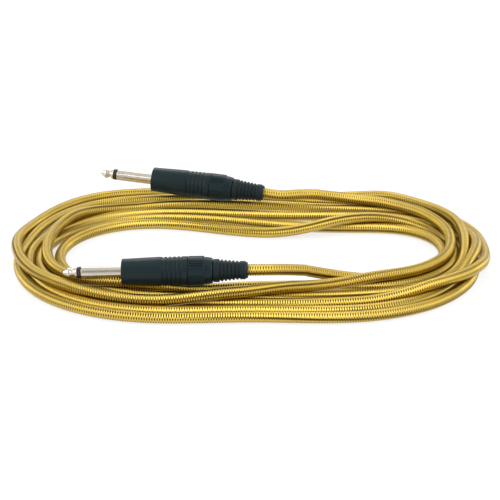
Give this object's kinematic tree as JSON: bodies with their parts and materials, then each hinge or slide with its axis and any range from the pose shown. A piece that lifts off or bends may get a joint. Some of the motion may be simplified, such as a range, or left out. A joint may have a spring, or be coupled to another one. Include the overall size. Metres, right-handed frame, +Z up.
{
  "type": "instrument cable",
  "caption": "Coiled instrument cable with a gold braid under a clear jacket and straight 6.35 mm mono jack plugs at its ends.",
  "frame": {"origin": "centre of the underside of the coiled cable", "axes": "+X along the long way of the hank, from the plug tips towards their cables; +Z up from the surface it lies on"},
  "size_m": [0.262, 0.142, 0.0234],
  "materials": {
    "gold_braid": "gold metal braid under a clear glossy jacket",
    "nickel": "polished nickel",
    "black_shell": "satin blue-black moulded shell",
    "black_rubber": "soft matt rubber",
    "black_nylon": "moulded nylon",
    "white_nylon": "moulded nylon",
    "brass_tag": "pressed sheet",
    "copper_core": "bare copper strands"
  },
  "bodies": {
    "cable_and_shells": {"cable_hank": "gold_braid", "tip_contact_a": "nickel", "tip_insulator_a": "black_nylon", "sleeve_a": "nickel", "insulating_washer_a": "black_nylon", "tip_lug_a": "brass_tag", "ground_clamp_a": "brass_tag", "insulating_liner_a": "white_nylon", "strain_chuck_a": "black_nylon", "housing_a": "black_shell", "centre_core_a": "copper_core", "cable_end_a": "gold_braid", "cable_lead_a": "gold_braid", "tip_contact_b": "nickel", "tip_insulator_b": "black_nylon", "sleeve_b": "nickel", "insulating_washer_b": "black_nylon", "tip_lug_b": "brass_tag", "ground_clamp_b": "brass_tag", "insulating_liner_b": "white_nylon", "strain_chuck_b": "black_nylon", "housing_b": "black_shell", "centre_core_b": "copper_core", "cable_end_b": "gold_braid", "cable_lead_b": "gold_braid"},
    "boot_a": {"boot_a": "black_rubber"},
    "back_nut_a": {"back_nut_a": "black_shell"},
    "boot_b": {"boot_b": "black_rubber"},
    "back_nut_b": {"back_nut_b": "black_shell"}
  },
  "joints": [
    {"name": "boot_a_slide", "type": "slide", "parent": "cable_and_shells", "child": "boot_a", "axis": [0.9808, -0.1907, -0.0401], "range_m": [0, 0.006]},
    {"name": "back_nut_a_turn", "type": "hinge", "parent": "boot_a", "child": "back_nut_a", "pos_m": [-0.02004, 0.05405, 0.01489], "axis": [0.9808, -0.1907, -0.0401], "range_deg": [0, 2160]},
    {"name": "boot_b_slide", "type": "slide", "parent": "cable_and_shells", "child": "boot_b", "axis": [0.9992, -0.0227, 0.0321], "range_m": [0, 0.006]},
    {"name": "back_nut_b_turn", "type": "hinge", "parent": "boot_b", "child": "back_nut_b", "pos_m": [-0.02955, -0.04049, 0.01485], "axis": [0.9992, -0.0227, 0.0321], "range_deg": [0, 2160]}
  ],
  "couplings": [
    {"joint": "boot_a_slide", "follows": "back_nut_a_turn", "m_per_rad": 0.00015915},
    {"joint": "boot_b_slide", "follows": "back_nut_b_turn", "m_per_rad": 0.00015915}
  ]
}
